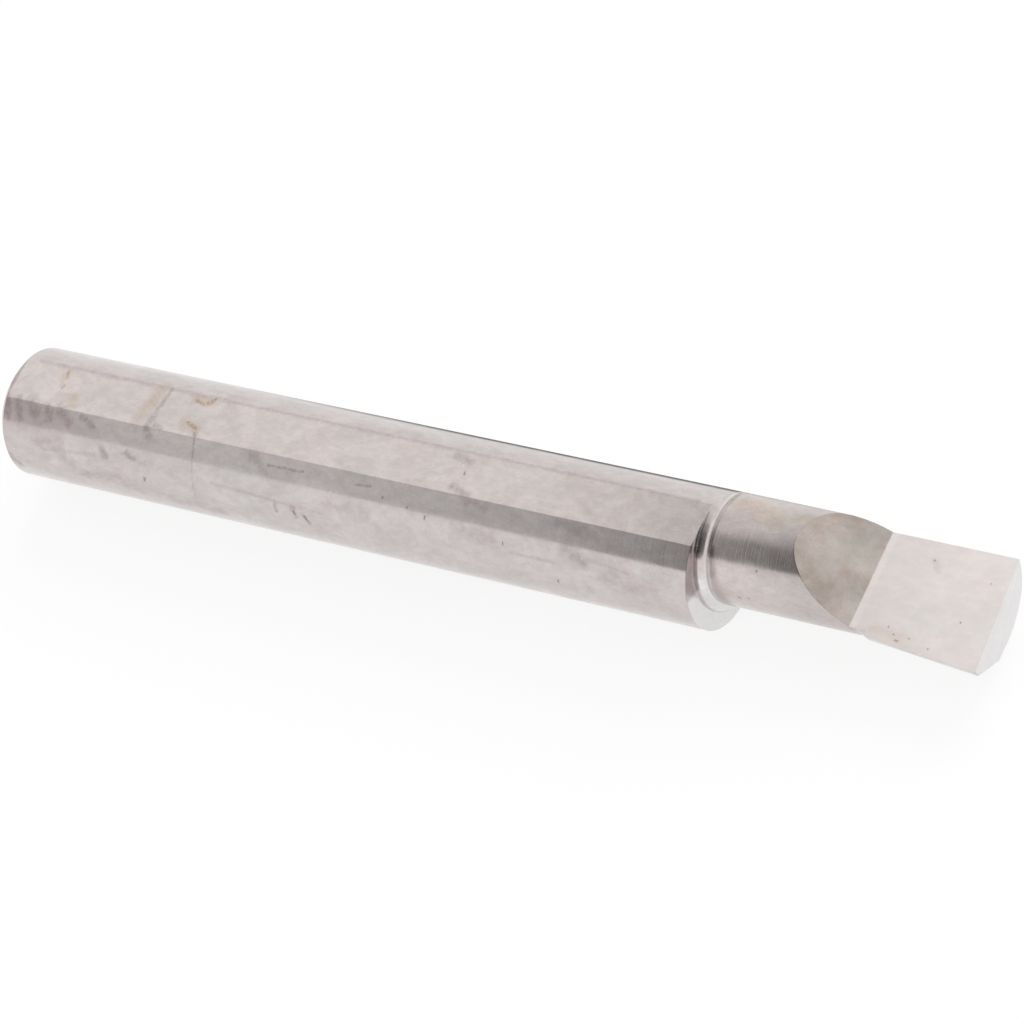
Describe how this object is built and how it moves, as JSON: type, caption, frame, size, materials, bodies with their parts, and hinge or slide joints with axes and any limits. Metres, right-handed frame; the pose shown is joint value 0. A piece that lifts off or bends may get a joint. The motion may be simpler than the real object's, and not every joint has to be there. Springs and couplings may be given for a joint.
{
  "type": "boring bar",
  "caption": "Solid carbide boring bar: round shank with a clamping flat, eccentric ground neck and a half-round cutting head.",
  "frame": {"origin": "on the shank's axis at its back end", "axes": "+X along the shank from the back end to the tip; +Z the way the clamping flat and the rake face look, up as the bar is clamped for work; the cutting edge lies on the -Y side"},
  "size_m": [0.05, 0.006, 0.0058],
  "materials": {
    "ground_carbide": "ground"
  },
  "bodies": {
    "root": {"boring_bar": "ground_carbide"}
  },
  "joints": []
}
